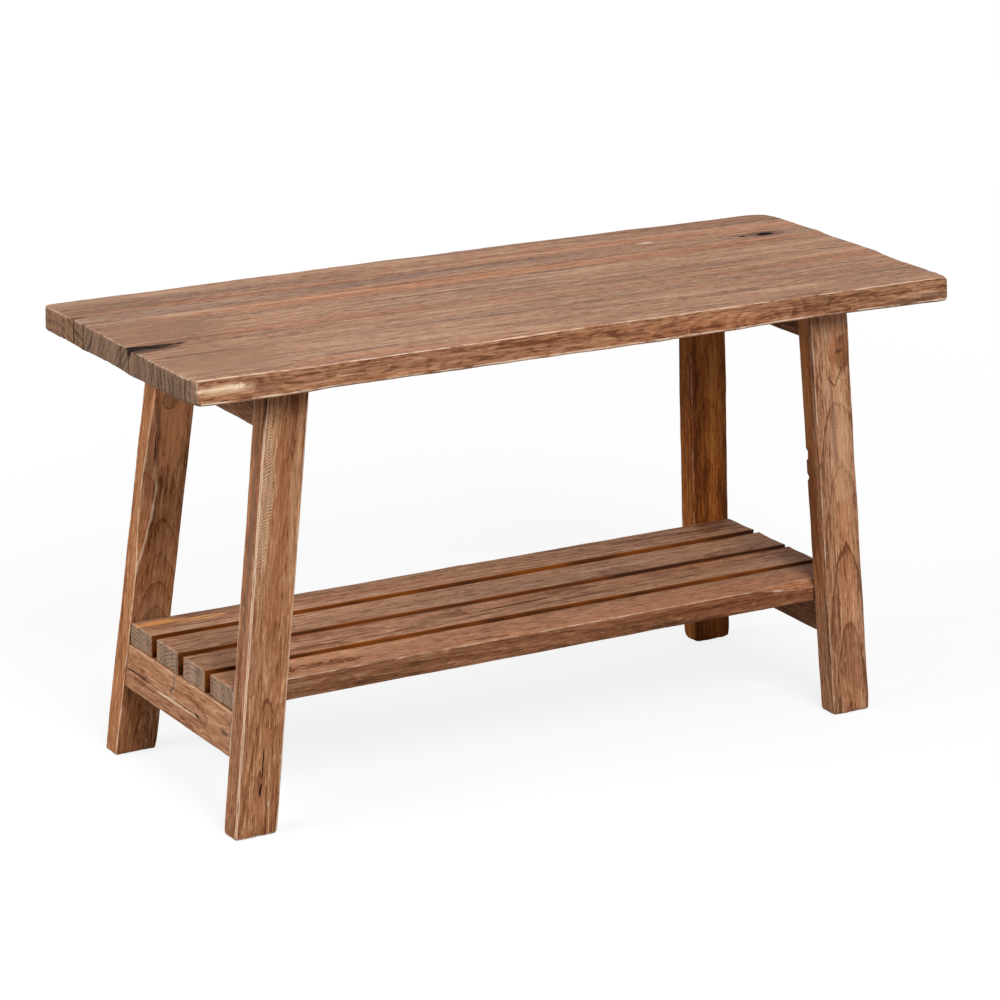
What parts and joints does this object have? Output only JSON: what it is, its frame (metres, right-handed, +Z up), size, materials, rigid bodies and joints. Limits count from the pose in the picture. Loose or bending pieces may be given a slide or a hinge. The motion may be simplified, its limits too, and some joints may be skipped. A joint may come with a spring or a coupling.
{
  "type": "shoe storage bench",
  "caption": "Rustic wooden shoe storage bench: a thick plank seat with worn natural edges on splayed legs, with a slatted shoe shelf carried by rails between the legs.",
  "frame": {"origin": "on the floor, under the middle of the top", "axes": "+X along the length, +Y from the front to the back, +Z up"},
  "size_m": [0.86, 0.316, 0.4605],
  "materials": {
    "top_wood": "brushed and oiled, matt, with pale worn edges",
    "leg_wood": "brushed and oiled, matt, with pale worn edges",
    "rail_wood": "brushed and oiled, matt",
    "slat_wood": "brushed and oiled, matt",
    "plug_wood": "sanded flush, matt",
    "dowel_wood": "plain turned",
    "screw_steel": "zinc plated"
  },
  "bodies": {
    "root": {"top_board_back": "top_wood", "top_board_middle": "top_wood", "top_board_front": "top_wood", "edge_dowel_back_1": "dowel_wood", "edge_dowel_back_2": "dowel_wood", "edge_dowel_back_3": "dowel_wood", "edge_dowel_front_1": "dowel_wood", "edge_dowel_front_2": "dowel_wood", "edge_dowel_front_3": "dowel_wood", "leg_front_left": "leg_wood", "leg_front_right": "leg_wood", "leg_back_left": "leg_wood", "leg_back_right": "leg_wood", "leg_plug": "plug_wood", "upper_rail_left": "rail_wood", "upper_rail_right": "rail_wood", "lower_rail_left": "rail_wood", "lower_rail_right": "rail_wood", "shelf_slat_1": "slat_wood", "shelf_slat_2": "slat_wood", "shelf_slat_3": "slat_wood", "shelf_slat_4": "slat_wood", "slat_screw_left_1": "screw_steel", "slat_screw_left_2": "screw_steel", "slat_screw_left_3": "screw_steel", "slat_screw_left_4": "screw_steel", "slat_screw_right_1": "screw_steel", "slat_screw_right_2": "screw_steel", "slat_screw_right_3": "screw_steel", "slat_screw_right_4": "screw_steel", "top_screw_left_back": "screw_steel", "top_screw_left_middle": "screw_steel", "top_screw_left_front": "screw_steel", "top_screw_right_back": "screw_steel", "top_screw_right_middle": "screw_steel", "top_screw_right_front": "screw_steel"}
  },
  "joints": []
}
